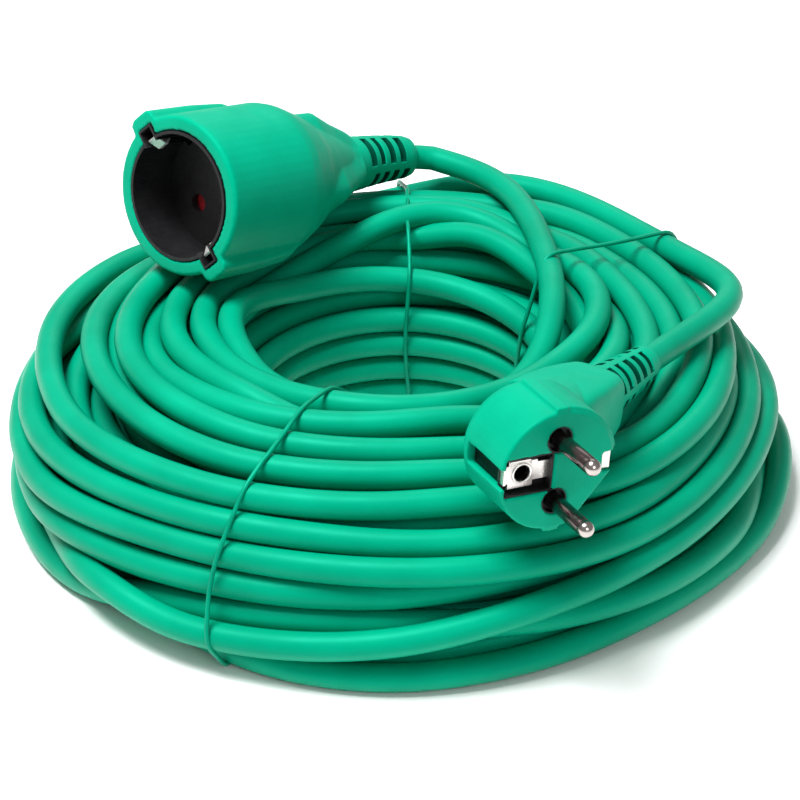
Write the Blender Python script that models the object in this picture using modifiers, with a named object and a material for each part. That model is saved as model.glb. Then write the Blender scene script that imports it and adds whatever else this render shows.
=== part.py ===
# Green moulded three-core mains extension cord: a wound coil of round sheathed
# cord held by three wire ties, an angled earthed plug on one end and an earthed
# trailing socket on the other.  Metres, +Z up, resting on z = 0.
import math
import bpy
import bmesh
from mathutils import Matrix, Vector

# ----------------------------------------------------------------- dimensions
MM = 0.001
SHIFT_Y = -6.205           # moves the whole layout so that its box is centred

CORD_D = 8.6              # three-core sheathed cord, outer diameter
CORE_D = 2.4              # one insulated core
COIL_CY = 9.0             # coil centre before the shift
COIL_R_OUT = 126.0
COIL_R_IN = 50.0
COIL_H = 57.0
COIL_STEPS = 72
TIE_D = 1.4
TIE_ANGLES = {"tie_front": -119.5, "tie_back": 89.0, "tie_right": 30.0}

PLUG_R = 18.2             # face radius of the plug body
PLUG_DEPTH = 25.5
PIN_PITCH = 19.0
PIN_D = 4.8
PIN_LEN = 19.0
EARTH_X = -10.0           # earth pin socket of the plug, off the pin line
NECK_Z0 = -18.0           # the cord's axis crosses the plug's axis here
NECK_DX, NECK_DZ = 0.8828, -0.4697
NECK_END = 40.3           # along the neck axis: where the strain relief starts
PLUG_RELIEF_END = 68.7

SOCK_R = 26.0             # outer radius of the socket body
WELL_R = 20.0             # inside radius of the plug well
WELL_DEPTH = 17.5
INSERT_R = 21.0
NOTCH_HALF_W = 3.15       # earth clip channel, half width outside
NOTCH_X = 25.0
RELIEF_START = 80.8       # socket strain relief, distance behind the face
GAP = 0.3

PLUG_C = (43.3, -107.0, 71.5)
PLUG_X = (0.8850, 0.4570, -0.0830)
PLUG_Z = (0.4600, -0.8880, 0.0220)
SOCK_C = (-71.2, 32.6, 88.6)
SOCK_N = (-0.644, -0.737, 0.203)
SOCK_X = (0.438, -0.573, -0.693)

COLORS = {
    "green_pvc": ((0.0, 0.40, 0.215), 0.42, 0.0),
    "green_cord": ((0.0, 0.42, 0.23), 0.38, 0.0),
    "green_tie": ((0.0, 0.38, 0.2), 0.45, 0.0),
    "black_plastic": ((0.012, 0.012, 0.014), 0.45, 0.0),
    "white_plastic": ((0.78, 0.76, 0.7), 0.5, 0.0),
    "red_plastic": ((0.35, 0.015, 0.02), 0.4, 0.0),
    "nickel": ((0.62, 0.58, 0.55), 0.22, 1.0),
    "brass": ((0.78, 0.57, 0.24), 0.28, 1.0),
    "spring_steel": ((0.55, 0.55, 0.56), 0.3, 1.0),
    "core_brown": ((0.16, 0.06, 0.025), 0.45, 0.0),
    "core_blue": ((0.03, 0.1, 0.5), 0.45, 0.0),
    "core_earth": ((0.45, 0.6, 0.03), 0.45, 0.0),
}

# ---------------------------------------------------------------------- scene
for old in list(bpy.data.objects):
    bpy.data.objects.remove(old, do_unlink=True)

PARTS = bpy.data.collections.new("extension_cord")
CUTS = bpy.data.collections.new("cutters")
bpy.context.scene.collection.children.link(PARTS)
bpy.context.scene.collection.children.link(CUTS)


def material(name):
    m = bpy.data.materials.get(name)
    if m is None:
        rgb, rough, metal = COLORS[name]
        m = bpy.data.materials.new(name)
        m.use_nodes = True
        b = m.node_tree.nodes["Principled BSDF"]
        b.inputs["Base Color"].default_value = (*rgb, 1.0)
        b.inputs["Roughness"].default_value = rough
        b.inputs["Metallic"].default_value = metal
        m.diffuse_color = (*rgb, 1.0)
    return m


def vec(p):
    return Vector(p) * MM


def keep(obj, mat=None, parent=None, cut=False):
    (CUTS if cut else PARTS).objects.link(obj)
    if mat:
        obj.data.materials.append(material(mat))
    if parent is not None:
        obj.parent = parent
    if cut:
        obj.hide_render = True
        obj.display_type = "WIRE"
    return obj


def frame_empty(name, origin, x_axis=None, z_axis=None):
    """An empty whose local axes are the piece's own axes."""
    e = bpy.data.objects.new(name, None)
    PARTS.objects.link(e)
    z = Vector(z_axis or (0, 0, 1)).normalized()
    x = Vector(x_axis or (1, 0, 0))
    x = (x - z * x.dot(z)).normalized()
    y = z.cross(x)
    m = Matrix((x, y, z)).transposed().to_4x4()
    m.translation = Vector((origin[0], origin[1] + SHIFT_Y, origin[2])) * MM
    e.matrix_world = m
    return e


def smooth(obj, angle=35.0):
    me = obj.data
    me.shade_smooth()
    me.set_sharp_from_angle(angle=math.radians(angle))


def turned(name, profile, steps, mat=None, parent=None, cut=False, loop=False,
           at=(0, 0, 0), axis="Z"):
    """Profile (radius, height) at +X, outer side running top to bottom."""
    me = bpy.data.meshes.new(name)
    n = len(profile)
    pts = [(r * MM, 0.0, z * MM) for r, z in profile]
    edges = [(i, i + 1) for i in range(n - 1)]
    if loop:
        edges.append((n - 1, 0))
    me.from_pydata(pts, edges, [])
    obj = keep(bpy.data.objects.new(name, me), mat, parent, cut)
    obj.location = vec(at)
    if axis == "X":
        obj.rotation_euler = (0, math.radians(90), 0)
    elif axis == "Y":
        obj.rotation_euler = (math.radians(-90), 0, 0)
    s = obj.modifiers.new("Screw", "SCREW")
    s.axis = "Z"
    s.angle = math.radians(360)
    s.steps = steps
    s.render_steps = steps
    s.use_merge_vertices = True
    s.merge_threshold = 0.00002
    s.use_smooth_shade = True
    return obj


def box(name, lo, hi, mat=None, parent=None, cut=False, bevel=0.0, rot_z=0.0):
    bm = bmesh.new()
    bmesh.ops.create_cube(bm, size=1.0)
    sx, sy, sz = [(h - l) * MM for l, h in zip(lo, hi)]
    bmesh.ops.scale(bm, vec=(sx, sy, sz), verts=bm.verts)
    me = bpy.data.meshes.new(name)
    bm.to_mesh(me)
    bm.free()
    obj = keep(bpy.data.objects.new(name, me), mat, parent, cut)
    c = Vector([(l + h) / 2 for l, h in zip(lo, hi)]) * MM
    obj.rotation_euler = (0, 0, math.radians(rot_z))
    obj.location = Matrix.Rotation(math.radians(rot_z), 3, "Z") @ c
    if bevel:
        b = obj.modifiers.new("Bevel", "BEVEL")
        b.width = bevel * MM
        b.segments = 2
        b.limit_method = "ANGLE"
    return obj


def outline(name, pts, half, mat=None, parent=None, at=(0, 0, 0), rot=(0, 0, 0)):
    """Flat closed outline in its own XY, extruded both ways by half."""
    cu = bpy.data.curves.new(name, "CURVE")
    cu.dimensions = "2D"
    cu.fill_mode = "BOTH"
    cu.extrude = half * MM
    sp = cu.splines.new("POLY")
    sp.points.add(len(pts) - 1)
    for p, q in zip(sp.points, pts):
        p.co = (q[0] * MM, q[1] * MM, 0, 1)
    sp.use_cyclic_u = True
    obj = keep(bpy.data.objects.new(name, cu), mat, parent)
    obj.location = vec(at)
    obj.rotation_euler = rot
    return obj


def tube(name, pts, radius, mat=None, parent=None, cut=False, cyclic=False,
         res=2, radii=None):
    cu = bpy.data.curves.new(name, "CURVE")
    cu.dimensions = "3D"
    cu.bevel_depth = radius * MM
    cu.bevel_resolution = res
    cu.use_fill_caps = not cyclic
    sp = cu.splines.new("POLY")
    sp.points.add(len(pts) - 1)
    for i, (p, q) in enumerate(zip(sp.points, pts)):
        p.co = (q[0] * MM, q[1] * MM, q[2] * MM, 1)
        p.radius = 1.0 if radii is None else radii[i] / radius
    sp.use_cyclic_u = cyclic
    sp.use_smooth = True
    return keep(bpy.data.objects.new(name, cu), mat, parent, cut)


def to_mesh(obj):
    """Curve to mesh with welded caps, kept in place, under the same name."""
    bpy.context.view_layer.update()
    dg = bpy.context.evaluated_depsgraph_get()
    me = bpy.data.meshes.new_from_object(obj.evaluated_get(dg))
    bm = bmesh.new()
    bm.from_mesh(me)
    bmesh.ops.remove_doubles(bm, verts=bm.verts, dist=0.000005)
    bmesh.ops.recalc_face_normals(bm, faces=bm.faces)
    bm.to_mesh(me)
    bm.free()
    name = obj.name
    coll = obj.users_collection[0]
    world = obj.matrix_world.copy()
    hide = obj.hide_render
    obj.name = name + "_curve"
    new = bpy.data.objects.new(name, me)
    coll.objects.link(new)
    new.matrix_world = world
    new.hide_render = hide
    if hide:
        new.display_type = "WIRE"
    bpy.data.objects.remove(obj, do_unlink=True)
    return new


def loft(name, rings, mat=None, parent=None, cut=False):
    """Closed solid through rings of equal point count, flat ends."""
    n = len(rings[0])
    verts = [tuple(c * MM for c in p) for ring in rings for p in ring]
    faces = [tuple(reversed(range(n)))]
    for k in range(len(rings) - 1):
        a, b = k * n, (k + 1) * n
        for i in range(n):
            j = (i + 1) % n
            faces.append((a + i, a + j, b + j, b + i))
    last = (len(rings) - 1) * n
    faces.append(tuple(range(last, last + n)))
    me = bpy.data.meshes.new(name)
    me.from_pydata(verts, [], faces)
    bm = bmesh.new()
    bm.from_mesh(me)
    bmesh.ops.recalc_face_normals(bm, faces=bm.faces)
    bm.to_mesh(me)
    bm.free()
    return keep(bpy.data.objects.new(name, me), mat, parent, cut)


def section(centre, u, v, hu, hv, n_exp, count):
    """Superellipse ring in the plane of u and v."""
    ring = []
    for i in range(count):
        a = 2 * math.pi * i / count
        c, s = math.cos(a), math.sin(a)
        x = math.copysign(abs(c) ** (2 / n_exp), c) * hu
        y = math.copysign(abs(s) ** (2 / n_exp), s) * hv
        ring.append([centre[k] + u[k] * x + v[k] * y for k in range(3)])
    return ring


def boolean(obj, cutter, op="DIFFERENCE"):
    m = obj.modifiers.new(cutter.name[:40], "BOOLEAN")
    m.operation = op
    m.object = cutter
    # the two moulded bodies take many fine cuts, which Exact leaves open
    m.solver = "MANIFOLD" if obj.name in ("plug_body", "socket_body") else "EXACT"
    return m


def catmull(points, count):
    """Smooth curve through the points, resampled at even spacing."""
    p = [Vector(q) for q in points]
    p = [p[0] * 2 - p[1]] + p + [p[-1] * 2 - p[-2]]
    fine = []
    for i in range(1, len(p) - 2):
        for k in range(24):
            t = k / 24
            a, b, c, d = p[i - 1], p[i], p[i + 1], p[i + 2]
            fine.append(0.5 * ((2 * b) + (c - a) * t
                               + (2 * a - 5 * b + 4 * c - d) * t * t
                               + (3 * b - a - 3 * c + d) * t ** 3))
    fine.append(p[-2])
    length = [0.0]
    for a, b in zip(fine, fine[1:]):
        length.append(length[-1] + (b - a).length)
    out = []
    j = 0
    for i in range(count):
        s = length[-1] * i / (count - 1)
        while j < len(fine) - 2 and length[j + 1] < s:
            j += 1
        f = (s - length[j]) / max(length[j + 1] - length[j], 1e-9)
        out.append(tuple(fine[j].lerp(fine[j + 1], min(max(f, 0), 1))))
    return out


def shifted(points):
    return [(x, y + SHIFT_Y, z) for x, y, z in points]


# ----------------------------------------------------------------- cord coil
def coil_point(a):
    """Point of the coil's rounded cross-section, a = 0 at the outside."""
    n = 3.2
    mid = (COIL_R_OUT + COIL_R_IN) / 2
    hw = (COIL_R_OUT - COIL_R_IN) / 2
    hh = COIL_H / 2
    c, s = math.cos(a), math.sin(a)
    r = mid + hw * math.copysign(abs(c) ** (2 / n), c)
    z = hh + hh * math.copysign(abs(s) ** (2 / n), s)
    return r, max(z, 0.0)


COIL_FLAT_IN, COIL_FLAT_OUT = 62.0, 114.0     # flat ring that lies on the floor


def coil_profile(count=30):
    pts = []
    for i in range(count):
        a = math.pi / 2 - 2 * math.pi * i / count
        r, z = coil_point(a)
        if z < 2.5 and COIL_FLAT_IN < r < COIL_FLAT_OUT:
            continue
        if z < 2.5:
            continue
        pts.append((r, z))
    low = min(range(len(pts)), key=lambda k: (pts[k][1], -pts[k][0]))
    outer = [p for p in pts]
    # the flat bottom goes between the lowest outer and the lowest inner point
    out, inside = [], []
    for k, p in enumerate(outer):
        (out if p[0] > (COIL_R_IN + COIL_R_OUT) / 2 or k == 0 else inside).append(p)
    return out + [(COIL_FLAT_OUT, 0.0), (COIL_FLAT_IN, 0.0)] + inside


coil = turned("cord_coil", coil_profile(), COIL_STEPS, "green_cord", None,
              loop=True, at=(0, COIL_CY + SHIFT_Y, 0))
for tie, ang in TIE_ANGLES.items():
    c = box(tie + "_groove", (COIL_R_IN - 6, -1.3, -1), (COIL_R_OUT + 6, 1.3, 2.7),
            cut=True, rot_z=ang)
    c.location += vec((0, COIL_CY + SHIFT_Y, 0))
    boolean(coil, c)

# ---------------------------------------------------------------------- plug
plug = frame_empty("plug_frame", PLUG_C, PLUG_X, PLUG_Z)
ND = Vector((NECK_DX, 0, NECK_DZ)).normalized()
NW = Vector((-ND.z, 0, ND.x))


def neck(t, w=0.0, y=0.0):
    return tuple(Vector((0, 0, NECK_Z0)) + ND * t + NW * w + Vector((0, y, 0)))


body = turned("plug_body", [(0, 0), (PLUG_R - 0.5, 0), (PLUG_R, -0.5),
                            (PLUG_R, -20.5), (16.6, -23.6), (13.2, -PLUG_DEPTH),
                            (0, -PLUG_DEPTH)], 48, "green_pvc", plug)
Y = (0, 1, 0)
rings = [
    section((0.4, 0, -12.4), Y, (0, 0, 1), 17.9, 12.0, 9.0, 32),
    section((4.5, 0, -13.4), Y, (0.05, 0, 0.998), 17.3, 12.3, 6.0, 32),
    section((10.0, 0, -18.6), Y, (0.25, 0, 0.968), 14.9, 11.8, 4.0, 32),
    section(neck(20.2), Y, NW, 12.3, 10.0, 3.0, 32),
    section(neck(33.0), Y, NW, 9.9, 8.9, 2.4, 32),
    section(neck(NECK_END), Y, NW, 8.3, 8.3, 2.0, 32),
]
boolean(body, loft("plug_neck_block", rings, parent=plug, cut=True), "UNION")
for s, nm in ((1, "top"), (-1, "bottom")):
    y0, y1 = sorted((s * 16.0, s * 18.9))
    boolean(body, box("plug_key_" + nm, (-1.9, y0, -19.0), (1.9, y1, -0.25),
                      parent=plug, cut=True), "UNION")
for s, nm in ((1, "right"), (-1, "left")):
    x0, x1 = sorted((s * 14.5, s * 24.0))
    boolean(body, box("plug_groove_" + nm, (x0, -3.0, -19.0), (x1, 3.0, 2.0),
                      parent=plug, cut=True))
    boolean(body, turned("plug_pin_well_" + nm, [(0, 2), (4.0, 2), (4.0, -2.6), (0, -2.6)],
                         24, parent=plug, cut=True, at=(0, s * PIN_PITCH / 2, 0)))
    boolean(body, turned("plug_pin_hole_" + nm, [(0, 1), (2.75, 1), (2.75, -7), (0, -7)],
                         20, parent=plug, cut=True, at=(0, s * PIN_PITCH / 2, 0)))
boolean(body, box("plug_flat_cut", (15.45, -14, -19.2), (26, 14, 2), parent=plug,
                  cut=True, rot_z=-40.0))
boolean(body, box("plug_earth_recess", (-16.4, -6.0, -4.4), (-1.2, 6.0, 2),
                  parent=plug, cut=True))
boolean(body, turned("plug_earth_hole", [(0, -3), (3.7, -3), (3.7, -8), (0, -8)], 20,
                     parent=plug, cut=True, at=(EARTH_X, 0, 0)))
boolean(body, turned("plug_cavity", [(0, -5.8), (13.6, -5.8), (13.6, -22.9),
                                     (0, -22.9)], 40, parent=plug, cut=True))
boolean(body, box("plug_strap_slot", (-16.4, -3.2, -18.8), (16.4, 3.2, -16.8),
                  parent=plug, cut=True))
bore = to_mesh(tube("plug_neck_bore", [neck(3.0), neck(20.0), neck(NECK_END + 2)], 3.6,
                    parent=plug, cut=True, res=4))
boolean(body, bore)
spig = to_mesh(tube("plug_neck_socket", [neck(NECK_END - 6.3), neck(NECK_END + 2)], 5.8,
                    parent=plug, cut=True, res=5))
boolean(body, spig)

# strain relief: spigot inside the neck, then a tapered sleeve
def relief(name, points, radii, parent, bore_pts, bore_r):
    body_curve = tube(name, points, 5.0, None, parent, radii=radii, res=6)
    obj = to_mesh(body_curve)
    obj.data.materials.clear()
    obj.data.materials.append(material("green_pvc"))
    hole = to_mesh(tube(name + "_bore", bore_pts, bore_r, parent=parent, cut=True, res=4))
    boolean(obj, hole)
    smooth(obj, 40)
    return obj


t0, t1 = NECK_END + GAP, PLUG_RELIEF_END
relief("plug_strain_relief",
       [neck(NECK_END - 6.0), neck(t0 - 0.02), neck(t0), neck(t0 + 9), neck(t0 + 18),
        neck(t1 - 1.6), neck(t1)],
       [5.45, 5.45, 8.1, 7.3, 6.3, 5.5, 4.9], plug,
       [neck(NECK_END - 8), neck(NECK_END + 12), neck(t1 + 2)], 3.4)

# contact bridge, pins, earth parts
bridge = turned("plug_bridge", [(0, -6.2), (12.6, -6.2), (13.2, -6.8), (13.2, -15.0),
                                (0, -15.0)], 40, "white_plastic", plug)
for s, nm in ((1, "a"), (-1, "b")):
    boolean(bridge, turned("bridge_hole_" + nm, [(0, -5), (2.72, -5), (2.72, -16.5),
                                                 (0, -16.5)], 20, parent=plug, cut=True,
                           at=(0, s * PIN_PITCH / 2, 0)))
boolean(bridge, turned("bridge_hole_earth", [(0, -5), (3.65, -5), (3.65, -16.5),
                                             (0, -16.5)], 20, parent=plug, cut=True,
                       at=(EARTH_X, 0, 0)))
r = PIN_D / 2
pin_profile = [(0, PIN_LEN), (r * 0.5, PIN_LEN - 0.32), (r * 0.87, PIN_LEN - 1.2),
               (r, PIN_LEN - 2.4), (r, -15.3), (3.7, -15.3), (3.7, -16.3),
               (1.5, -16.3), (1.5, -18.4), (0, -18.4)]
for nm, s in (("plug_pin_line", 1), ("plug_pin_neutral", -1)):
    turned(nm, pin_profile, 24, "nickel", plug, at=(0, s * PIN_PITCH / 2, 0))

rx90 = (math.radians(90), 0, 0)     # outline's XY becomes the piece's X and Z
tk = 0.8
outline("plug_earth_strap",
        [(-16.0, -2.0), (-16.0, -18.0), (16.0, -18.0), (16.0, -1.4), (16.0 - tk, -1.4),
         (16.0 - tk, -18.0 + tk), (-16.0 + tk, -18.0 + tk), (-16.0 + tk, -2.0)],
        2.7, "nickel", plug, rot=rx90)
es = box("plug_earth_socket", (-14.9, -2.7, -3.25), (-1.7, 2.7, -2.55), "nickel", plug)
boolean(es, box("earth_socket_ears", (-14.2, -4.4, -3.3), (-6.4, 4.4, -2.6), parent=plug,
                cut=True), "UNION")
boolean(es, turned("earth_socket_barrel", [(0, -3.0), (3.25, -3.0), (3.25, -16.8),
                                           (0, -16.8)], 24, parent=plug, cut=True,
                   at=(EARTH_X, 0, 0)), "UNION")
boolean(es, turned("earth_socket_bore", [(0, 0), (2.5, 0), (2.5, -19), (0, -19)], 24,
                   parent=plug, cut=True, at=(EARTH_X, 0, 0)))

# three cores from the terminals into the cord's sheath
tri = [(0.0, 1.6), (1.39, -0.8), (-1.39, -0.8)]


def plug_core(name, mat, starts, k):
    w, y = tri[k]
    pts = starts + [neck(8.8, w, y), neck(14, w, y), neck(20, w, y), neck(34, w, y),
           neck(50, w, y), neck(t1 - 0.3, w, y)]
    tube(name, catmull(pts, 26), CORE_D / 2, mat, plug)


plug_core("plug_core_brown", "core_brown",
          [(0.0, 9.5, -19.3), (1.2, 7.6, -20.8), (4.0, 4.0, -20.95)], 0)
plug_core("plug_core_blue", "core_blue",
          [(0.0, -9.5, -19.3), (1.2, -7.6, -20.8), (3.8, -3.8, -21.0)], 2)
plug_core("plug_core_earth", "core_earth", [(4.4, -1.2, -19.6), (6.4, -1.0, -20.0)], 1)

# -------------------------------------------------------------------- socket
sock = frame_empty("socket_frame", SOCK_C, SOCK_X, SOCK_N)
sb = turned("socket_body", [(0, 0), (25.2, 0), (25.9, -0.7), (SOCK_R, -2.0),
                            (SOCK_R, -38), (25.2, -42), (23.6, -46), (21.6, -51),
                            (19.0, -56), (16.4, -62), (13.8, -68), (10.4, -76),
                            (9.5, -RELIEF_START + GAP), (0, -RELIEF_START + GAP)],
            56, "green_pvc", sock)
for s, nm in ((1, "lower"), (-1, "upper")):
    rings = [section((s * 20, 0, z), (s, 0, 0), (0, 1, 0), hx, hy, 5.0, 24)
             for z, hx, hy in ((-0.1, 9.6, 5.6), (-20, 9.3, 5.5), (-34, 8.3, 5.2),
                               (-40, 5.5, 4.6))]
    boolean(sb, loft("socket_lug_" + nm, rings, parent=sock, cut=True), "UNION")
rings = [section((0, 0, -z), (1, 0, 0), (0, 1, 0), h1, h2, 3.4, 32)
         for z, h1, h2 in ((54, 16.0, 16.0), (60, 15.8, 15.0), (66.5, 15.2, 13.0),
                           (72, 12.0, 10.4), (79, 9.0, 8.6))]
boolean(sb, loft("socket_neck_block", rings, parent=sock, cut=True), "UNION")
boolean(sb, turned("socket_pocket", [(0, 2), (INSERT_R + GAP, 2), (INSERT_R + GAP, -36.4),
                                     (14.2, -36.4), (9.5, -50), (4.2, -64), (0, -64)],
                   56, parent=sock, cut=True))
for s, nm in ((1, "lower"), (-1, "upper")):
    x0, x1 = sorted((s * 15.0, s * (NOTCH_X + GAP)))
    boolean(sb, box("socket_notch_" + nm, (x0, -3.45, -36.2), (x1, 3.45, 2),
                    parent=sock, cut=True))
bore = to_mesh(tube("socket_neck_bore", [(0, 0, -60), (0, 0, -84)], 3.6, parent=sock,
                    cut=True, res=4))
boolean(sb, bore)
spig = to_mesh(tube("socket_neck_socket", [(0, 0, -RELIEF_START + 6.6), (0, 0, -84)], 5.8,
                    parent=sock, cut=True, res=5))
boolean(sb, spig)

# relief: straight at first, then turning slightly with the lead
def relief_axis(length):
    """Point of the socket relief's axis, given its distance behind the face."""
    bend = math.radians(14.0)
    l0, l1 = 88.0, 112.0
    if length <= l0:
        return (0.0, 0.0, -length)
    rad = (l1 - l0) / bend
    a = (length - l0) / rad
    fwd = l0 + rad * math.sin(a)
    side = rad * (1 - math.cos(a))
    # sideways direction: level in the world, toward the coil's inside
    return (side * RELIEF_SIDE[0], side * RELIEF_SIDE[1], -fwd)


SM = sock.matrix_world.to_3x3()
side_world = Vector((0.0, 0.0, 1.0)).cross(Vector(SOCK_N)).normalized()
side_local = SM.transposed() @ side_world
RELIEF_SIDE = (side_local.x, side_local.y)
n_side = math.hypot(*RELIEF_SIDE)
RELIEF_SIDE = (RELIEF_SIDE[0] / n_side, RELIEF_SIDE[1] / n_side)
if (SM @ Vector((RELIEF_SIDE[0], RELIEF_SIDE[1], 0))).y > 0:
    RELIEF_SIDE = (-RELIEF_SIDE[0], -RELIEF_SIDE[1])

ls = [RELIEF_START - 6.2, RELIEF_START - 0.02, RELIEF_START, 85, 89, 93, 97, 101, 105, 109,
      111, 112]
rs = [5.45, 5.45, 9.2, 8.7, 8.2, 7.8, 7.4, 7.0, 6.6, 6.2, 5.8, 5.0]
relief("socket_strain_relief", [relief_axis(v) for v in ls], rs, sock,
       [relief_axis(v) for v in (72, 80, 88, 92, 96, 100, 104, 108, 112, 114)], 3.4)

insert = turned("socket_insert", [(WELL_R, 0.2), (INSERT_R, 0.2), (INSERT_R, -22.0),
                                  (WELL_R, -22.0)], 56, "black_plastic", sock, loop=True)
boolean(insert, turned("insert_floor", [(0, -WELL_DEPTH), (WELL_R + 0.4, -WELL_DEPTH),
                                        (WELL_R + 0.4, -20.0), (0, -20.0)], 56,
                       parent=sock, cut=True), "UNION")
for s, nm in ((1, "lower"), (-1, "upper")):
    x0, x1 = sorted((s * 19.2, s * NOTCH_X))
    boolean(insert, box("insert_channel_" + nm, (x0, -NOTCH_HALF_W, -22.0),
                        (x1, NOTCH_HALF_W, 0.2), parent=sock, cut=True), "UNION")
    x0, x1 = sorted((s * 17.4, s * (NOTCH_X - 0.7)))
    boolean(insert, box("insert_channel_gap_" + nm, (x0, -2.45, -24),
                        (x1, 2.45, 2), parent=sock, cut=True))
    boolean(insert, turned("insert_pin_hole_" + nm, [(0, -16), (3.0, -16), (3.0, -22.5),
                                                     (0, -22.5)], 24, parent=sock,
                           cut=True, at=(0, s * PIN_PITCH / 2, 0)))

carrier = turned("socket_contact_carrier", [(0, -22.8), (20.6, -22.8), (20.6, -34.2),
                                            (0, -34.2)], 48, "black_plastic", sock)
for s, nm in ((1, "a"), (-1, "b")):
    boolean(carrier, box("carrier_pocket_" + nm, (-4.2, s * 9.5 - 3.6, -36),
                         (4.2, s * 9.5 + 3.6, -20), parent=sock, cut=True))
boolean(carrier, box("carrier_spring_post", (14.9, -2.0, -23.4), (16.6, 2.0, -20.5),
                     parent=sock, cut=True), "UNION")
boolean(carrier, box("carrier_spring_bay", (4.6, -1.6, -24.6), (14.9, 1.6, -20),
                     parent=sock, cut=True))
for nm, s in (("socket_contact_line", 1), ("socket_contact_neutral", -1)):
    outline(nm, [(-3.0, -23.4), (-3.0, -34.0), (-0.9, -34.0), (-0.9, -37.4), (0.9, -37.4),
                 (0.9, -34.0), (3.0, -34.0), (3.0, -23.4), (2.3, -23.4), (1.9, -25.6),
                 (2.3, -28.0), (2.3, -33.2), (-2.3, -33.2), (-2.3, -28.0), (-1.9, -25.6),
                 (-2.3, -23.4)], 2.5, "brass", sock, at=(0, s * PIN_PITCH / 2, 0), rot=rx90)
outline("socket_earth_strap",
        [(-22.5, -21.9), (-22.5, -35.6), (22.5, -35.6), (22.5, -21.9), (21.9, -21.9),
         (21.9, -34.9), (-21.9, -34.9), (-21.9, -21.9)], 1.9, "nickel", sock, rot=rx90)

clip_pts = [(21.9, -21.5), (22.5, -21.5), (22.5, -12.0), (20.9, -8.0), (18.5, -5.0),
            (18.6, -4.2), (21.3, -1.5), (20.8, -1.1), (17.9, -3.9), (17.8, -5.2),
            (20.3, -8.3), (21.9, -12.2)]
CLIP_PIVOT = (22.2, 0.0, -21.2)
for nm, s in (("socket_earth_clip_lower", 1), ("socket_earth_clip_upper", -1)):
    hinge = bpy.data.objects.new(nm + "_hinge", None)
    PARTS.objects.link(hinge)
    hinge.parent = sock
    hinge.location = vec((s * CLIP_PIVOT[0], 0, CLIP_PIVOT[2]))
    pts = [(s * (x - CLIP_PIVOT[0]), z - CLIP_PIVOT[2]) for x, z in clip_pts]
    if s < 0:
        pts = pts[::-1]
    outline(nm, pts, 1.9, "nickel", hinge, rot=rx90)

# sprung child-protection shutter behind the well floor
sh = bpy.data.objects.new("shutter_slide_frame", None)
PARTS.objects.link(sh)
sh.parent = sock
sh.location = vec((0, 0, -21.4))
shutter = box("socket_shutter", (-3.3, -13.2, -0.9), (3.3, 13.2, 0.9), "red_plastic", sh,
              bevel=0.3)
SPRING_TURNS, SPRING_X0, SPRING_X1 = 6, 3.9, 14.4
tube("shutter_spring",
     [(SPRING_X0 + (SPRING_X1 - SPRING_X0) * i / (SPRING_TURNS * 12),
       1.05 * math.cos(math.radians(30 * i)), -21.4 + 1.05 * math.sin(math.radians(30 * i)))
      for i in range(SPRING_TURNS * 12 + 1)], 0.22, "spring_steel", sock, res=1)

# cores in the socket
def socket_core(name, mat, start, mid, k):
    a, b = tri[k]
    def at(v):
        p = relief_axis(v)
        return (p[0] + a, p[1] + b, p[2])
    pts = [start, mid, (a * 1.3, b * 1.3, -60.0)] + [at(v) for v in
                                                   (68, 76, 84, 90, 96, 102, 107, 111.7)]
    tube(name, catmull(pts, 34), CORE_D / 2, mat, sock)


tri = [(0.0, 1.6), (1.39, -0.8), (-1.39, -0.8)]
socket_core("socket_core_brown", "core_brown", (0, 9.5, -37.8), (0, 8.6, -43.0), 0)
socket_core("socket_core_blue", "core_blue", (0, -9.5, -37.8), (-0.6, -8.2, -43.0), 2)
socket_core("socket_core_earth", "core_earth", (6.0, 0, -37.2), (5.6, -0.4, -42.0), 1)

# --------------------------------------------------------------------- leads
bpy.context.view_layer.update()
PM = plug.matrix_world
SW = sock.matrix_world


def world_mm(mw, local):
    return tuple(v / MM for v in (mw @ vec(local)))


p0 = world_mm(PM, neck(t1 + GAP))
p1 = world_mm(PM, neck(t1 + 14))
lead = [p0, p1] + shifted([(101.3, 2.4, 63.2), (107.2, 19.5, 61.4), (109.8, 37.0, 60.0),
                           (106.0, 56.0, 60.0), (98.0, 70.0, 61.0), (88.0, 82.0, 61.6),
                           (76.0, 92.0, 61.9)])
PLUG_LEAD = catmull(lead, 40)
tube("cord_plug_lead", PLUG_LEAD, CORD_D / 2, "green_cord", res=3)

s0 = world_mm(SW, relief_axis(112 + GAP))
a_, b_ = Vector(world_mm(SW, relief_axis(112))), Vector(world_mm(SW, relief_axis(111)))
sd = (a_ - b_).normalized()
s1 = tuple(Vector(s0) + sd * 7)
lead = [s0, s1] + shifted([(17.5, 119.5, 63.6), (28.5, 112.0, 62.6), (36.0, 97.0, 62.6),
                           (41.5, 80.0, 62.8), (46.5, 62.0, 62.8), (50.3, 44.0, 62.8),
                           (52.3, 26.0, 62.8), (52.0, 10.0, 62.6), (49.5, -6.0, 62.4)])
SOCK_LEAD = catmull(lead, 40)
tube("cord_socket_lead", SOCK_LEAD, CORD_D / 2, "green_cord", res=3)


# ---------------------------------------------------------------------- ties
def hull(points):
    """Convex hull of (r, z) points, counter-clockwise."""
    pts = sorted(set(points))
    def half(seq):
        out = []
        for p in seq:
            while len(out) > 1 and ((out[-1][0] - out[-2][0]) * (p[1] - out[-2][1])
                                    - (out[-1][1] - out[-2][1]) * (p[0] - out[-2][0])) <= 0:
                out.pop()
            out.append(p)
        return out[:-1]
    return half(pts) + half(pts[::-1])


def circle(r, z, rad, n=20):
    return [(r + rad * math.cos(2 * math.pi * i / n), z + rad * math.sin(2 * math.pi * i / n))
            for i in range(n)]


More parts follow.
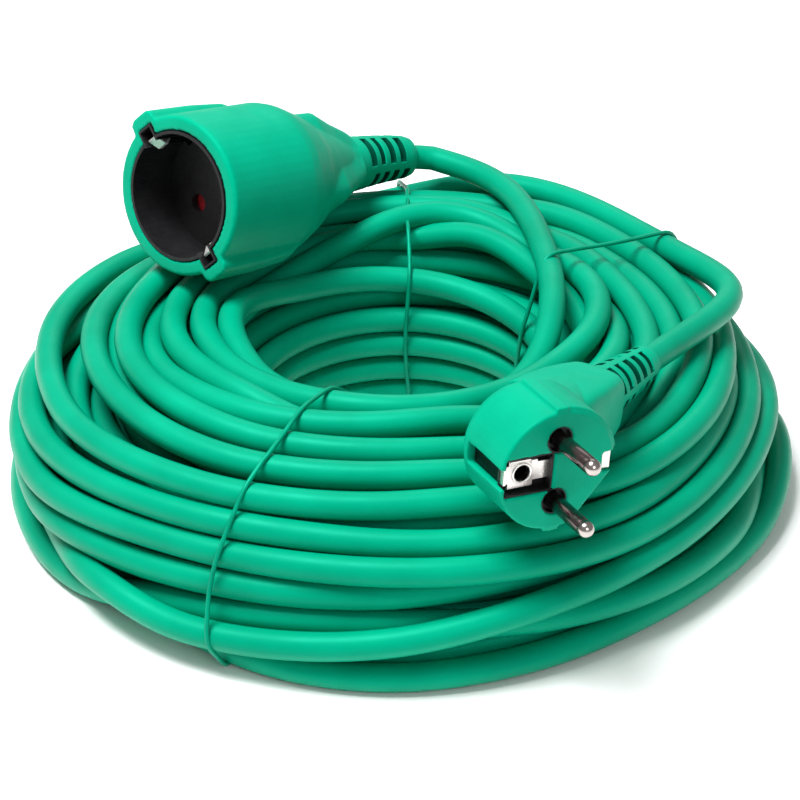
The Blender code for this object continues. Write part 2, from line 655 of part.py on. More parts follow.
def crossing(path, degrees):
    """(r, z) where a lead passes the radial plane of a tie."""
    best = None
    for a, b in zip(path, path[1:]):
        u = [math.degrees(math.atan2(p[1] - SHIFT_Y - COIL_CY, p[0])) - degrees
             for p in (a, b)]
        if u[0] * u[1] <= 0:
            f = u[0] / (u[0] - u[1])
            p = [a[k] + (b[k] - a[k]) * f for k in range(3)]
            best = (math.hypot(p[0], p[1] - SHIFT_Y - COIL_CY), p[2])
    return best


CLEAR = TIE_D / 2 + 0.8
for tie, ang in TIE_ANGLES.items():
    pts = [coil_point(2 * math.pi * i / 72) for i in range(72)] + coil_profile()
    loop = []
    for r_, z_ in pts:
        loop += circle(r_, max(z_, 2.4), CLEAR, 12)
    if tie == "tie_right":
        for path in (PLUG_LEAD, SOCK_LEAD):
            loop += circle(*crossing(path, ang), CORD_D / 2 + CLEAR + 0.5)
    ring = hull([(round(a, 3), round(max(b, 1.25), 3)) for a, b in loop])
    ca, sa = math.cos(math.radians(ang)), math.sin(math.radians(ang))
    closed = ring + [ring[0]]
    # even points along the hull
    seg = [math.dist(a, b) for a, b in zip(closed, closed[1:])]
    total = sum(seg)
    count = 84
    path, k, acc = [], 0, 0.0
    for i in range(count):
        s = total * i / count
        while acc + seg[k] < s:
            acc += seg[k]
            k += 1
        f = (s - acc) / seg[k]
        rr = closed[k][0] + (closed[k + 1][0] - closed[k][0]) * f
        zz = closed[k][1] + (closed[k + 1][1] - closed[k][1]) * f
        path.append((rr * ca, rr * sa + COIL_CY + SHIFT_Y, zz))
    tube(tie, path, TIE_D / 2, "green_tie", cyclic=True, res=1)

# hollow under the plug, where its weight presses the turns down
boolean(coil, turned("coil_dent_body", [(0, 12), (PLUG_R + 1.6, 12), (PLUG_R + 1.6, -28),
                                        (0, -27)], 32, parent=plug, cut=True))
d2 = to_mesh(tube("coil_dent_neck", [neck(0), neck(22), neck(40), neck(t1 + 12)], 10.0,
                  parent=plug, cut=True, res=3, radii=[19.4, 15.2, 10.4, 5.6]))
boolean(coil, d2)
boolean(coil, turned("coil_dent_socket", [(0, 4), (SOCK_R + 0.9, 4), (SOCK_R + 0.9, -40.5),
                                          (22.6, -54), (17.0, -68), (11.2, -80),
                                          (8.0, -100), (0, -116)],
                     40, parent=sock, cut=True))

bpy.context.view_layer.update()
for o in PARTS.objects:
    if o.type == "MESH" and not any(m.type == "SCREW" for m in o.modifiers):
        smooth(o)
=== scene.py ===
# Looks of the green moulded extension cord: the wound coil of real cord, its ties,
# the moulded plug and trailing socket, materials, light and camera.
import math
import bpy
import bmesh
import numpy as np
from mathutils import Matrix, Vector, noise


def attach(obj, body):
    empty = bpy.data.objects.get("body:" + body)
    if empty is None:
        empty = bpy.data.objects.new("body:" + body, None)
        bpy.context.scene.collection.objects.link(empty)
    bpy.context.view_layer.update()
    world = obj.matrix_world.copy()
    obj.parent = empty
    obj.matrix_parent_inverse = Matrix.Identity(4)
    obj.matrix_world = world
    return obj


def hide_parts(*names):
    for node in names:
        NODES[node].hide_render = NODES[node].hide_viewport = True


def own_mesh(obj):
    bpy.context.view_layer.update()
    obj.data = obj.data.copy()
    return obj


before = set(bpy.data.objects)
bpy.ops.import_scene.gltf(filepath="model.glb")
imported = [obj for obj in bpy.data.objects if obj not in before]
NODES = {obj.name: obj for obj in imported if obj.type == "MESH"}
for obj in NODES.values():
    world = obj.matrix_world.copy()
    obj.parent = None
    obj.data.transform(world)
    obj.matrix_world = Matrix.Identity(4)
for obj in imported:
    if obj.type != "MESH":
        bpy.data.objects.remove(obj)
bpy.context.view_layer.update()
MM = 0.001

# ------------------------------------------------------------------- camera
cam_data = bpy.data.cameras.new("camera")
cam = bpy.data.objects.new("camera", cam_data)
bpy.context.scene.collection.objects.link(cam)
cam.location = (0.0, -0.697905, 0.4316)
cam.rotation_euler = (math.radians(60.0), 0.0, 0.0)
cam_data.lens = 112.5
cam_data.sensor_width = 36.0
cam_data.clip_start = 0.01
bpy.context.scene.camera = cam
CAM_MM = np.array([0.0, -697.905, 431.6])

# -------------------------------------------------------------- dimensions
CORD_D = 8.6
CY = 2.795                     # coil centre, y in mm
PLUG_O = np.array([43.3, -113.205, 71.5])
PLUG_A = np.array([[0.885709, 0.456756, -0.083031],
                   [0.063663, 0.057662, 0.996304],
                   [0.459856, -0.887721, 0.021993]])
SOCK_O = np.array([-71.2, 26.395, 88.6])
SOCK_A = np.array([[0.437618, -0.573211, -0.692762],
                   [0.627206, -0.357461, 0.691979],
                   [-0.644286, -0.737327, 0.20309]])
ND = np.array([0.8828, 0.0, -0.4697]); ND /= np.linalg.norm(ND)
NW = np.array([-ND[2], 0.0, ND[0]])


def plug_w(p):
    return PLUG_O + np.asarray(p, float) @ PLUG_A


def sock_w(p):
    return SOCK_O + np.asarray(p, float) @ SOCK_A


def neck(t, w=0.0, y=0.0):
    return np.array([0, 0, -18.0]) + ND * t + NW * w + np.array([0, 1.0, 0]) * y


RELIEF_SIDE = (0.7067, 0.7075)


def relief_axis(length):
    bend, l0, l1 = math.radians(14.0), 88.0, 112.0
    if length <= l0:
        return np.array([0.0, 0.0, -length])
    rad = (l1 - l0) / bend
    a = (length - l0) / rad
    side = rad * (1 - math.cos(a))
    return np.array([side * RELIEF_SIDE[0], side * RELIEF_SIDE[1], -(l0 + rad * math.sin(a))])


def catmull(points, n_per):
    """Points of a smooth curve through the given ones, n_per steps a span."""
    p = np.asarray(points, float)
    p = np.vstack([2 * p[0] - p[1], p, 2 * p[-1] - p[-2]])
    out = []
    for i in range(1, len(p) - 2):
        p0, p1, p2, p3 = p[i - 1], p[i], p[i + 1], p[i + 2]
        for j in range(n_per):
            u = j / n_per
            out.append(0.5 * (2 * p1 + (p2 - p0) * u + (2 * p0 - 5 * p1 + 4 * p2 - p3) * u * u
                              + (3 * p1 - p0 - 3 * p2 + p3) * u ** 3))
    out.append(p[-2])
    return np.array(out)


def resample(path, step):
    seg = np.linalg.norm(np.diff(path, axis=0), axis=1)
    s = np.concatenate([[0], np.cumsum(seg)])
    n = max(2, int(round(s[-1] / step)))
    t = np.linspace(0, s[-1], n + 1)
    return np.stack([np.interp(t, s, path[:, k]) for k in range(3)], axis=1)


# ------------------------------------------------------- the two free leads
RELIEF_END = sock_w(relief_axis(112.0))
sd = sock_w(relief_axis(112.0)) - sock_w(relief_axis(110.5))
sd /= np.linalg.norm(sd)
PLUG_END = plug_w(neck(68.7))
pd = plug_w(neck(68.7)) - plug_w(neck(60.0))
pd /= np.linalg.norm(pd)
SOCK_LEAD = np.array([RELIEF_END - sd * 5, RELIEF_END, (12.0, 109.7, 64.2), (21.5, 108.4, 63.0),
                      (29.5, 104.2, 62.4), (34.6, 98.4, 62.1), (38.3, 91.5, 62.0)])
PLUG_LEAD = np.array([(94.7, 46.5, 56.0), (102.0, 37.4, 56.8), (108.6, 27.6, 58.2),
                      (111.2, 15.0, 60.2), (106.0, 1.6, 62.2), (94.0, -13.2, 63.6),
                      PLUG_END + pd * 14.3, PLUG_END + pd * 0.3, PLUG_END - pd * 6])

# ------------------------------------------------------------ the wound coil
# Chain of points at fixed azimuths, each free in its (radius, height) plane.
# Strands that show are led along measured lines (azimuth, radius, height), mm.
STRANDS = {
    "G": [(66, 75.9, 57.5), (50, 69, 57.8), (30, 64.5, 58.5), (23, 65.6, 58.4), (15, 65.8, 58), (6, 64.4, 57.7),
          (-6, 61.8, 57.4), (-16, 59.2, 57.4), (-27, 57, 57.8), (-46, 54.5, 59),
          (-67, 56.2, 59.6), (-90, 58.6, 59.6), (-110, 61.5, 59), (-121, 61.5, 57.5), (-131, 61.5, 57.5),
          (-158, 61.4, 57), (-173, 60.3, 57)],
    "F": [(-118, 67.5, 54.5), (-130, 64.8, 56.3), (-134, 65.5, 57), (-150, 69.9, 57.2), (-163, 72, 57), (-174, 72.6, 57)],
    "E": [(-70, 62.6, 57), (-80, 64.5, 57.8), (-90, 67.3, 57.8), (-121, 73.8, 57.2),
          (-135, 76.5, 57), (-147, 78.4, 56.8), (-158, 80.2, 56.7), (-168, 79.6, 56.5)],
    "D": [(60, 77, 57), (51, 78.6, 56.7), (46, 79.4, 56.5), (37, 78.2, 56.2), (31, 79.4, 56), (10, 84, 55),
          (-15, 89.3, 54.4), (-26, 90.1, 54), (-38, 90, 53.6), (-47, 88.5, 53.7),
          (-79, 77.4, 54.5), (-90, 77.8, 54.5), (-110, 81.3, 55.3), (-120, 84.3, 55.7),
          (-127, 84.1, 56), (-139, 85.1, 55.9), (-151, 85.6, 55.8), (-163, 86.4, 55.6),
          (-177, 86.3, 55.5)],
    "C": [(66, 95.6, 56.4), (60, 96.2, 56.1), (52, 94.4, 55.8), (41, 92.1, 55.5),
          (15, 93.5, 54.5), (-11, 95.6, 53.3), (-23, 96.4, 52.6), (-33, 97, 51.9),
          (-43, 97.5, 51.5), (-51, 96, 51.5), (-80, 84.4, 51.5), (-90, 85.9, 51.5),
          (-108, 90.2, 52.4), (-120, 94.1, 53), (-129, 95.1, 53.5), (-140, 95.8, 53.4),
          (-151, 95.8, 53.3), (-165, 96.5, 53.1), (-180, 97.3, 53)],
    "A": [(-3, 99.7, 50.2), (-15, 101.2, 49.2), (-26, 102, 48.2),
          (-37, 102.8, 47.3), (-48, 103, 47.2), (-55, 101.5, 47.3), (-81, 93.7, 47.8),
          (-90, 96.9, 48), (-106, 99.3, 48), (-119, 102.6, 48), (-127, 103.8, 48),
          (-135, 106.1, 48), (-146, 109.2, 47.9), (-156, 110.9, 47.1), (-169, 110.7, 46.1),
          (-187, 113.9, 45)],
    "J": [(-2, 104, 48.8), (-13, 105.1, 47.2), (-24, 106.2, 45.6), (-36, 107.7, 44.3),
          (-47, 109.2, 43.2), (-58, 110.3, 42.2), (-68, 108.6, 41.7), (-78, 108.4, 41.4),
          (-90, 107.5, 41), (-105, 104.5, 40.4), (-119, 106, 39.7), (-127, 107.3, 39),
          (-136, 109.2, 37.9), (-145, 113.1, 37.3), (-154, 116.6, 36.8), (-162, 118.2, 36.2),
          (-172, 118.4, 35.5), (-185, 118.2, 35)],
    "K": [(-90, 111, 35.5), (-101, 109, 33.5), (-113, 108.8, 32.5), (-121, 109, 31.3),
          (-132, 110.5, 29.5), (-140, 113.9, 28), (-147, 120.3, 26.7), (-155, 121.8, 25.1),
          (-164, 121.8, 23.2), (-172, 121.8, 22.5)],
    "L": [(-3, 109, 42.4), (-16, 109.8, 39.8), (-27, 110.7, 37.8), (-37, 111.9, 35.8),
          (-48, 112.6, 33.7), (-58, 111.7, 32.7), (-71, 112.9, 31.9), (-81, 113.9, 31.3),
          (-90, 115, 30), (-100, 112.3, 27), (-112, 111.4, 25), (-121, 111.9, 23),
          (-130, 113.8, 20.6), (-140, 116.7, 18), (-149, 119.6, 15.6), (-158, 119.5, 13.8)],
    "M": [(-90, 118.5, 23.5), (-100, 116.5, 20.5), (-111, 115.5, 18), (-120, 116.5, 15.3),
          (-129, 117.2, 12.1), (-137, 119.3, 9), (-145, 122.2, 7.8), (-153, 122.4, 6.7),
          (-162, 122.4, 5.4), (-172, 122.4, 5)],
    "N": [(4, 116.3, 36), (-7, 116.6, 34.6), (-17, 116.1, 32.6), (-29, 114.4, 30.1),
          (-41, 113.8, 27), (-53, 114.2, 24.5), (-67, 115.2, 22.2), (-79, 117.5, 20),
          (-90, 120.5, 17), (-99, 118.8, 13.5), (-111, 118.5, 10), (-119, 118.5, 8),
          (-125, 120.2, 7)],
    "O": [(10, 121.8, 24), (3, 122, 21.4), (-6, 122, 18.3), (-15, 121.8, 15.4), (-25, 120.5, 12.1),
          (-38, 117.5, 8.7), (-54, 114.5, 5.6), (-67, 116.2, 4.6), (-79, 118.1, 4.5),
          (-90, 121.4, 4.5), (-107, 120.9, 4.4), (-115, 119.8, 4.4)],
    "R": [(0, 113, 24), (-20, 112.4, 19.5), (-40, 109.5, 15), (-54, 108.8, 12), (-75, 110, 8.6),
          (-90, 112.6, 6.3), (-104, 112, 5.2)],
    "P": [(88, 64.7, 57.5), (83, 67.6, 57.5), (74, 68.6, 57.5), (66, 67.2, 57.5), (58, 63, 57.5),
          (46, 57.8, 57), (30, 54.5, 54.5)],
    "Q": [(88, 81.6, 57), (80, 83.9, 57), (72, 84.5, 56.5), (64, 85.5, 56.5)],
}
S, TURNS = 64, 47
DA = 360.0 / S
ROWS = TURNS + 2
rng = np.random.default_rng(11)

az_row = 90.0 - DA * np.arange(S)                  # azimuths of one row, 90 -> -264
AZ = (90.0 - DA * np.arange(ROWS * S))             # whole chain


def table(rows, az):
    """Value of an (azimuth, r, z) table at the azimuths, clamped at its ends."""
    rows = sorted(rows)
    a = [q[0] for q in rows]
    return np.stack([np.interp(az, a, [q[1] for q in rows]),
                     np.interp(az, a, [q[2] for q in rows])], axis=-1)


LEAD_IN = [(90, 104.5, 65.5), (84, 107.5, 64.2), (77.5, 107.5, 63.0), (70.4, 101.8, 62.2),
           (66.8, 96.5, 62.0), (62.9, 90.1, 62.0), (58.4, 82.4, 62.0), (52.8, 74.4, 62.0),
           (45.4, 66.3, 62.0), (35.4, 59.1, 62.0), (24, 53.9, 62.0), (11, 50.9, 61.9),
           (-3, 49.5, 61.7), (-14, 47.9, 61.4), (-28, 46.8, 60.9),
           (-40, 46.4, 60.2), (-52, 46.6, 59.4), (-72, 47.2, 58.6), (-90, 49.4, 57.8),
           (-104, 51.8, 57.8), (-113, 52.6, 57.8), (-125, 51.8, 57.8), (-141, 51.2, 57.6),
           (-158, 51.9, 57.4), (-171, 54, 57.2), (-200, 55, 56.5), (-264, 54, 54)]
LEAD_OUT = [(90, 113.5, 53.5), (80, 115, 54.3), (68.3, 114.4, 55), (60.5, 112.6, 55.2),
            (50.3, 107.5, 55.4), (40.9, 104, 55.6), (31.7, 103, 55.6), (24.5, 104.5, 56.1),
            (18.8, 107.8, 56.8), (13, 111.4, 58.2), (6.5, 111.9, 60.2), (-0.7, 106, 62.2),
            (-10.5, 95.5, 63.6)]

# slots of the bundle's section: ten staggered columns, taken alternately down and up
COLS = 10
col_r = np.linspace(50.0, 119.5, COLS)


def top_of(r):
    if r < 80:
        return 4.3 + 51.0 * (1 - abs((80 - r) / 36.0) ** 4) ** 0.25
    return 4.3 + 51.0 * (1 - min(0.999, (r - 80) / 44.0) ** 2.6) ** (1 / 2.6)


def slots(dz):
    out = []
    for c, r in enumerate(col_r):
        z0 = 4.5 + (dz * 0.5 if c % 2 else 0.0)
        col = []
        z = z0
        while z <= top_of(r) + 0.5:
            col.append((r, z))
            z += dz
        out.append(col[::-1] if c % 2 == 0 else col)
    return [p for col in out for p in col]


dz = 7.0
while len(slots(dz)) > TURNS:
    dz += 0.02
base = slots(dz)
while len(base) < TURNS:
    base.insert(len(base) // 2, (88.0, 30.0))
base = np.array(base)

# base track of each row, with a gradual change to the next slot
X = np.zeros((ROWS, S, 2))
phase = rng.uniform(0, 2 * np.pi, (TURNS + 2, 4, 2))
for k in range(ROWS):
    if k == 0:
        X[k] = table(LEAD_IN, az_row)
        continue
    if k == ROWS - 1:
        X[k] = table(LEAD_OUT, az_row)
        continue
    a, b = base[k - 1], base[min(k, TURNS - 1)]
    if k == 1:
        a0 = X[0, -1]
        u = np.clip((90 - az_row) / 60.0, 0, 1)[:, None]
        u = u * u * (3 - 2 * u)
        start = a0 * (1 - u) + a * u
    else:
        start = np.repeat(a[None], S, axis=0)
    centre = rng.uniform(-250, -170)
    w = np.clip((centre + 45 - az_row) / 90.0, 0, 1)[:, None]
    w = w * w * (3 - 2 * w)
    X[k] = start * (1 - w) + b * w
    for h in range(1, 4):
        for d in range(2):
            X[k, :, d] += 1.6 / h * np.sin(np.radians(az_row) * h + phase[k, h, d])

fixed = np.zeros((ROWS, S), bool)
fixed[0] = az_row > -20
fixed[-1] = az_row < 84
alive = np.ones((ROWS, S), bool)
alive[-1] = az_row > -11
ghost = ~alive
X[ghost] = (400.0, 30.0)
fixed |= ghost

# which row runs along which strand
names = list(STRANDS)
cost = np.zeros((len(names), TURNS))
win, goal, zray = {}, {}, {}
for n, nm in enumerate(names):
    rows = STRANDS[nm]
    lo, hi = min(q[0] for q in rows), max(q[0] for q in rows)
    m = (az_row <= hi + 1) & (az_row >= lo - 1)
    win[nm], goal[nm] = m, table(rows, az_row)
    for k in range(1, TURNS + 1):
        cost[n, k - 1] = np.mean(np.linalg.norm(X[k][m] - goal[nm][m], axis=1))
pick = {}
used = set()
for n in np.argsort(-np.min(cost, axis=1)):
    for k in np.argsort(cost[n]):
        if int(k) not in used:
            pick[int(n)] = int(k)
            used.add(int(k))
            break
for _ in range(6):
    for n in range(len(names)):
        for k in range(TURNS):
            other = [m for m in pick if pick[m] == k]
            if other and other[0] != n:
                o = other[0]
                if cost[n, k] + cost[o, pick[n]] + 1e-6 < cost[n, pick[n]] + cost[o, k]:
                    pick[n], pick[o] = k, pick[n]
            elif not other and cost[n, k] + 1e-6 < cost[n, pick[n]]:
                pick[n] = k

T = np.zeros_like(X)
W = np.zeros((ROWS, S))
for n, nm in enumerate(names):
    k = pick[n] + 1
    m = win[nm]
    T[k][m] = goal[nm][m]
    W[k][m] = 1.0
lead_goal = table(LEAD_IN, az_row)
T[0], W[0] = lead_goal, np.where((az_row < -18) & (az_row > -200), 1.0, 0.0)
W[fixed] = 0.0
# soften the ends of every window
Wf = W.reshape(-1)
for _ in range(3):
    Wf = np.minimum(Wf, (np.roll(Wf, 1) + Wf + np.roll(Wf, -1)) / 3 + 0.0)
W = Wf.reshape(W.shape)

# direction of sight in each (r, z) plane: depth along it is left loose
azr = np.radians(az_row)
ER = np.stack([np.cos(azr), np.sin(azr)], axis=1)
tx = T[..., 0] * ER[None, :, 0]
ty = CY + T[..., 0] * ER[None, :, 1]
view = np.stack([tx - CAM_MM[0], ty - CAM_MM[1], T[..., 1] - CAM_MM[2]], axis=-1)
vr = view[..., 0] * ER[None, :, 0] + view[..., 1] * ER[None, :, 1]
sight = np.stack([vr, view[..., 2]], axis=-1)
sight /= np.linalg.norm(sight, axis=-1, keepdims=True)

# what rests on the coil: spheres along the mouldings and the two leads
balls = []
for t in np.arange(-3, -24, -3.0):
    balls.append((*plug_w((0, 0, t)), 18.4))
for t in np.arange(8, 41, 3.0):
    balls.append((*plug_w(neck(t)), np.interp(t, [8, 20, 33, 40], [13.0, 12.0, 9.9, 8.4])))
for t in np.arange(41, 70, 3.0):
    balls.append((*plug_w(neck(t)), np.interp(t, [40, 49, 58, 68], [8.2, 7.4, 6.4, 5.2])))
for t in np.arange(2, 80, 3.0):
    balls.append((*sock_w((0, 0, -t)), np.interp(
        t, [0, 42, 46, 51, 56, 62, 68, 76, 80], [26, 25.6, 23.8, 21.8, 19.4, 17.6, 15.6, 11, 9.6])))
for sgn in (1, -1):
    for t in np.arange(2, 40, 3.5):
        balls.append((*sock_w((sgn * 22.5, 0, -t)), 7.4))
for t in np.arange(80, 112, 3.0):
    balls.append((*sock_w(relief_axis(t)), np.interp(t, [80, 97, 109, 112], [9.4, 7.6, 6.2, 5.2])))
lead_pts = np.vstack([
    resample(catmull(SOCK_LEAD, 8), 4.0),
    np.array([(r * math.cos(math.radians(a)), CY + r * math.sin(math.radians(a)), z)
              for a, (r, z) in zip(np.arange(66, -20, -3.0),
                                   table(LEAD_IN, np.arange(66, -20, -3.0)))]),
    resample(catmull(PLUG_LEAD, 8), 4.0)])
lead_balls = [(*p, 4.3) for p in lead_pts]
BALLS = np.array(balls + lead_balls)
free_flat = ~fixed

inset = np.interp(az_row, [-264, -205, -185, 5, 25, 90], [0.0, 0.0, 6.5, 6.5, 1.5, 0.0])
inset = np.broadcast_to(inset[None, :], (ROWS, S))
near = W > 0.05
for k in range(ROWS):                       # traced strands and their run-outs stay outside
    idx = np.where(near[k])[0]
    if len(idx):
        lo, hi = max(0, idx.min() - 5), min(S - 1, idx.max() + 5)
        near[k, lo:hi + 1] = True
inset_eff = np.where(near, 0.0, inset)


def envelope(X):
    """Pushes points back inside the section; hidden ones lie deeper."""
    r, z = X[..., 0], X[..., 1]
    dr = r - 80.0
    dzv = z - 4.0
    ro = 43.5 - inset_eff
    ri = 33.0 - 0.35 * inset_eff
    rad = np.where(dr > 0, ro, ri)
    p = np.where(dr > 0, 2.6, 4.5)
    hz = 55.5 - inset_eff
    f = (np.abs(dr) / rad) ** p + (np.maximum(dzv, 0) / hz) ** p
    sc = np.where(f > 1, f ** (-1 / p), 1.0)
    sc = 1 - (1 - sc) * 0.6
    out = X.copy()
    out[..., 0] = 80.0 + dr * sc
    out[..., 1] = 4.0 + dzv * sc
    return out


PX, PY = ER[:, 0], ER[:, 1]


def ceiling(X):
    """Highest level each point may have under what lies on the coil."""
    x = X[..., 0] * PX[None]
    y = CY + X[..., 0] * PY[None]
    top = np.full(x.shape, 1e3)
    for c in BALLS:
        d2 = (x - c[0]) ** 2 + (y - c[1]) ** 2
        rr = c[3] + CORD_D / 2 + 0.25
        m = d2 < rr * rr
        if m.any():
            top[m] = np.minimum(top[m], c[2] - np.sqrt(rr * rr - d2[m]))
    return top


ITER = 420
mob = np.where(fixed, 0.0, 1.0)
top = ceiling(X)
for it in range(ITER):
    late = it / ITER
    # along the chain
    lam = 0.5 if late < 0.6 else 0.3
    for _ in range(3 if late < 0.8 else 1):
        flat = X.reshape(-1, 2)
        mean = (np.roll(flat, 1, axis=0) + np.roll(flat, -1, axis=0)) / 2
        mean[0], mean[-1] = flat[0], flat[-1]
        step = (mean - flat).reshape(X.shape) * lam
        far = np.abs(step).sum(-1) > 50
        step[far] = 0
        X += step * mob[..., None]
    # toward the strands that show
    e = T - X
    along = (e * sight).sum(-1, keepdims=True) * sight
    across = e - along
    wt = W[..., None] * mob[..., None]
    X += wt * (across * (0.35 if late < 0.85 else 0.12) + along * (0.10 if late < 0.6 else 0.02))
    # apart from each other, section by section
    for _ in range(2 if late < 0.5 else 4):
        P = X.transpose(1, 0, 2)
        d = P[:, :, None, :] - P[:, None, :, :]
        dist = np.sqrt((d ** 2).sum(-1)) + 1e-6
        over = np.maximum(0.0, CORD_D + 0.12 - dist)
        idx = np.arange(ROWS)
        over[:, idx, idx] = 0
        fx = fixed.T
        share = np.where(fx[:, None, :], 1.0, 0.5)
        push = (over * share / dist)[..., None] * d
        X += (push.sum(2) * 0.85).transpose(1, 0, 2) * mob[..., None]
        lim = envelope(X)
        X = np.where(free_flat[..., None], lim, X)
        if it % 4 == 0:
            top = ceiling(X)
        X[..., 1] = np.where(free_flat & (X[..., 1] > top), top, X[..., 1])
        X[..., 1] = np.where(free_flat, np.maximum(X[..., 1], 4.35), X[..., 1])
        X[..., 0] = np.where(free_flat, np.maximum(X[..., 0], 46.0), X[..., 0])

P = X.transpose(1, 0, 2)
d = P[:, :, None, :] - P[:, None, :, :]
dist = np.sqrt((d ** 2).sum(-1)) + 1e3 * np.eye(ROWS)[None]
print("coil: nearest", round(float(dist.min()), 2), "share under 7.5 mm",
      round(float((dist.min(2) < 7.5).mean()), 3), "rows", ROWS)
for n, nm in enumerate(names):
    k = pick[n] + 1
    m = win[nm]
    e = T[k][m] - X[k][m]
    c = (e ** 2).sum(-1) - ((e * sight[k][m]).sum(-1)) ** 2
    print("strand", nm, "row", k, "off", round(float(np.sqrt(np.mean(np.maximum(c, 0)))), 2))

chain = []
for i in range(ROWS * S):
    k, s = divmod(i, S)
    if not alive[k, s]:
        continue
    a = math.radians(AZ[i])
    if k == 0 and az_row[s] > 64.5:
        continue
    if k == ROWS - 1 and az_row[s] < 28:
        continue
    r, z = X[k, s]
    chain.append((r * math.cos(a), CY + r * math.sin(a), z))
route = np.vstack([SOCK_LEAD, np.array(chain), PLUG_LEAD])
# fewer points where the lead's own points are close to a chain point
keep_pts = [route[0]]
for p in route[1:]:
    if np.linalg.norm(p - keep_pts[-1]) > 3.5:
        keep_pts.append(p)
PATH = resample(catmull(keep_pts, 5), 4.6)
# take out the last small kinks of the relaxed chain
for _ in range(3):
    PATH[1:-1] += 0.25 * (PATH[:-2] + PATH[2:] - 2 * PATH[1:-1])
ease = np.zeros(len(PATH))
ease[4:46] = 1.0
ease[-62:-5] = 1.0
for _ in range(24):
    PATH[1:-1] += (0.3 * ease[1:-1])[:, None] * (PATH[:-2] + PATH[2:] - 2 * PATH[1:-1])
t1 = np.diff(PATH, axis=0)
t1 /= np.linalg.norm(t1, axis=1, keepdims=True)


# ---------------------------------------------------------------- mesh tools
def new_object(name, verts, faces, smooth=True):
    me = bpy.data.meshes.new(name)
    me.from_pydata([tuple(v) for v in np.asarray(verts) * MM], [], faces)
    me.update()
    if smooth:
        me.shade_smooth()
    ob = bpy.data.objects.new(name, me)
    bpy.context.scene.collection.objects.link(ob)
    return ob


def tube(name, path, radius, sides, closed=False, cap=True):
    """Round tube along a path in mm; radius may vary along it."""
    path = np.asarray(path, float)
    n = len(path)
    if closed:
        tan = np.roll(path, -1, axis=0) - np.roll(path, 1, axis=0)
    else:
        tan = np.gradient(path, axis=0)
    tan /= np.linalg.norm(tan, axis=1, keepdims=True)
    rad = np.broadcast_to(np.asarray(radius, float), (n,))
    up = np.array([0, 0, 1.0])
    side = np.cross(tan, up)
    ln = np.linalg.norm(side, axis=1)
    if ln.min() < 0.25:                       # parallel transport for steep paths
        s0 = np.cross(tan[0], (0, 0, 1.0) if abs(tan[0][2]) < 0.9 else (1.0, 0, 0))
        s0 /= np.linalg.norm(s0)
        sides_v = [s0]
        for i in range(1, n):
            v = sides_v[-1] - tan[i] * np.dot(sides_v[-1], tan[i])
            sides_v.append(v / np.linalg.norm(v))
        side = np.array(sides_v)
    else:
        side = side / ln[:, None]
    nor = np.cross(side, tan)
    ang = np.linspace(0, 2 * np.pi, sides, endpoint=False)
    rings = (path[:, None, :] + rad[:, None, None]
             * (np.cos(ang)[None, :, None] * side[:, None, :]
                + np.sin(ang)[None, :, None] * nor[:, None, :]))
    verts = rings.reshape(-1, 3)
    faces = []
    m = n if closed else n - 1
    for i in range(m):
        a, b = i * sides, ((i + 1) % n) * sides
        for j in range(sides):
            k2 = (j + 1) % sides
            faces.append((a + j, a + k2, b + k2, b + j))
    if not closed and cap:
        faces.append(tuple(range(sides))[::-1])
        faces.append(tuple((n - 1) * sides + j for j in range(sides)))
    return new_object(name, verts, faces)


cord = tube("cord_sheath", PATH, CORD_D / 2, 14)

# ---------------------------------------------------------------- materials
MATS = {}


